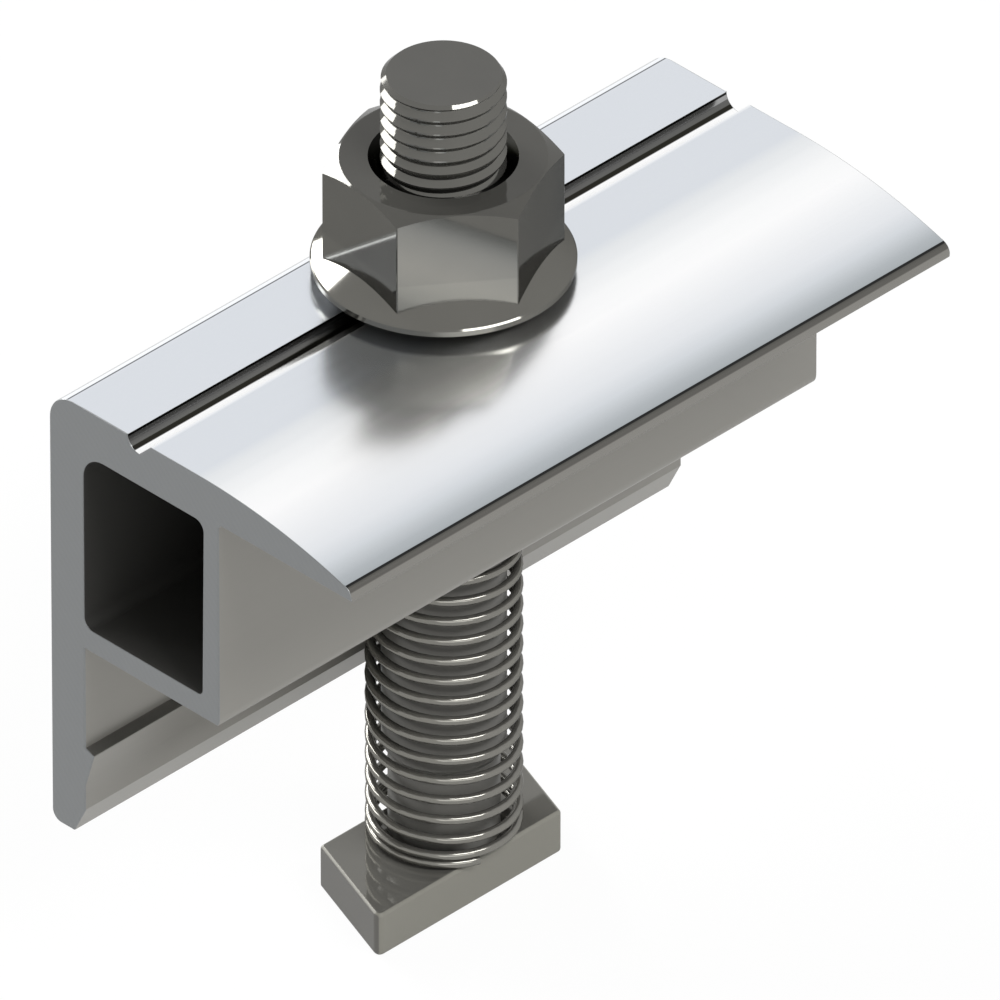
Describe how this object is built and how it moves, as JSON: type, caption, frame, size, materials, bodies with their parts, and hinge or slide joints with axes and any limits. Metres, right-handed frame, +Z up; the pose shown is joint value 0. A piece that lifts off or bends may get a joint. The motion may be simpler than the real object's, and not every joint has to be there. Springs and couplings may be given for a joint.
{
  "type": "solar end clamp",
  "caption": "End clamp: extruded hollow body with an overhanging lip, a spring-loaded hammer-head bolt and a flange nut, holding a module frame down on a rail.",
  "frame": {"origin": "on the bolt's axis, in the plane of the foot's underside, where the rail's top face lies", "axes": "+X from the clamp's back towards the module, +Y along the extrusion, +Z up the bolt, away from the rail"},
  "size_m": [0.0263, 0.052, 0.0599],
  "materials": {
    "clamp_profile": "mill finish, bright",
    "t_bolt": "smooth, rolled thread",
    "spring": "drawn wire, glossy",
    "flange_nut": "smooth, glossy"
  },
  "bodies": {
    "clamp": {"clamp_profile": "clamp_profile"},
    "nut": {"flange_nut": "flange_nut"},
    "spring": {"spring": "spring"},
    "bolt": {"t_bolt": "t_bolt"}
  },
  "joints": [
    {"name": "nut_turn", "type": "hinge", "parent": "clamp", "child": "nut", "pos_m": [0, 0, 0.03225], "axis": [0, 0, -1], "range_deg": [0, 2700]},
    {"name": "bolt_rise", "type": "slide", "parent": "clamp", "child": "spring", "axis": [0, 0, 1], "range_m": [0, 0.0075], "deforming": ["spring"]},
    {"name": "bolt_turn", "type": "hinge", "parent": "spring", "child": "bolt", "pos_m": [0, 0, -0.00969], "axis": [0, 0, 1], "range_deg": [0, 90]}
  ],
  "couplings": [
    {"joint": "bolt_rise", "follows": "nut_turn", "m_per_rad": 0.00015915}
  ]
}
